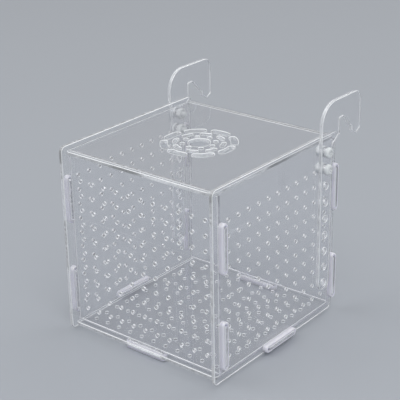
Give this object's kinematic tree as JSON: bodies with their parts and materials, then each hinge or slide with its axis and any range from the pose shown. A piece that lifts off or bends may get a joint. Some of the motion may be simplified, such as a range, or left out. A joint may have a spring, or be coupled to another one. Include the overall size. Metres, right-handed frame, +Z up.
{
  "type": "fish breeding box",
  "caption": "Clear acrylic fish breeding box with a lift-off vented lid, fine water holes and adjustable hooks that hang it on a tank wall.",
  "frame": {"origin": "on the surface that the box stands on, under the middle of its bounding box", "axes": "+X to the right across the box, seen from its front; +Y to the back, towards the tank wall that the hooks go over; +Z up"},
  "size_m": [0.1032, 0.12, 0.1178],
  "materials": {
    "acrylic_sheet": "clear cast acrylic with polished laser-cut edges",
    "ring_silicone": "milky translucent silicone",
    "screw_plastic": "clear moulded polycarbonate"
  },
  "bodies": {
    "box": {"back_panel": "acrylic_sheet", "bottom_plate": "acrylic_sheet", "front_panel": "acrylic_sheet", "left_hook": "acrylic_sheet", "left_panel": "acrylic_sheet", "nut_left_lower": "screw_plastic", "nut_left_upper": "screw_plastic", "nut_right_lower": "screw_plastic", "nut_right_upper": "screw_plastic", "right_hook": "acrylic_sheet", "right_panel": "acrylic_sheet", "ring_bottom_back": "ring_silicone", "ring_bottom_front": "ring_silicone", "ring_bottom_left": "ring_silicone", "ring_bottom_right": "ring_silicone", "ring_left_back_lower": "ring_silicone", "ring_left_back_upper": "ring_silicone", "ring_left_front_lower": "ring_silicone", "ring_left_front_upper": "ring_silicone", "ring_right_back_lower": "ring_silicone", "ring_right_back_upper": "ring_silicone", "ring_right_front_lower": "ring_silicone", "ring_right_front_upper": "ring_silicone", "screw_left_lower": "screw_plastic", "screw_left_upper": "screw_plastic", "screw_right_lower": "screw_plastic", "screw_right_upper": "screw_plastic"},
    "lid": {"lid": "acrylic_sheet"}
  },
  "joints": [
    {"name": "lid_lift", "type": "slide", "parent": "box", "child": "lid", "axis": [0, 0, 1], "range_m": [0, 0.06]}
  ]
}
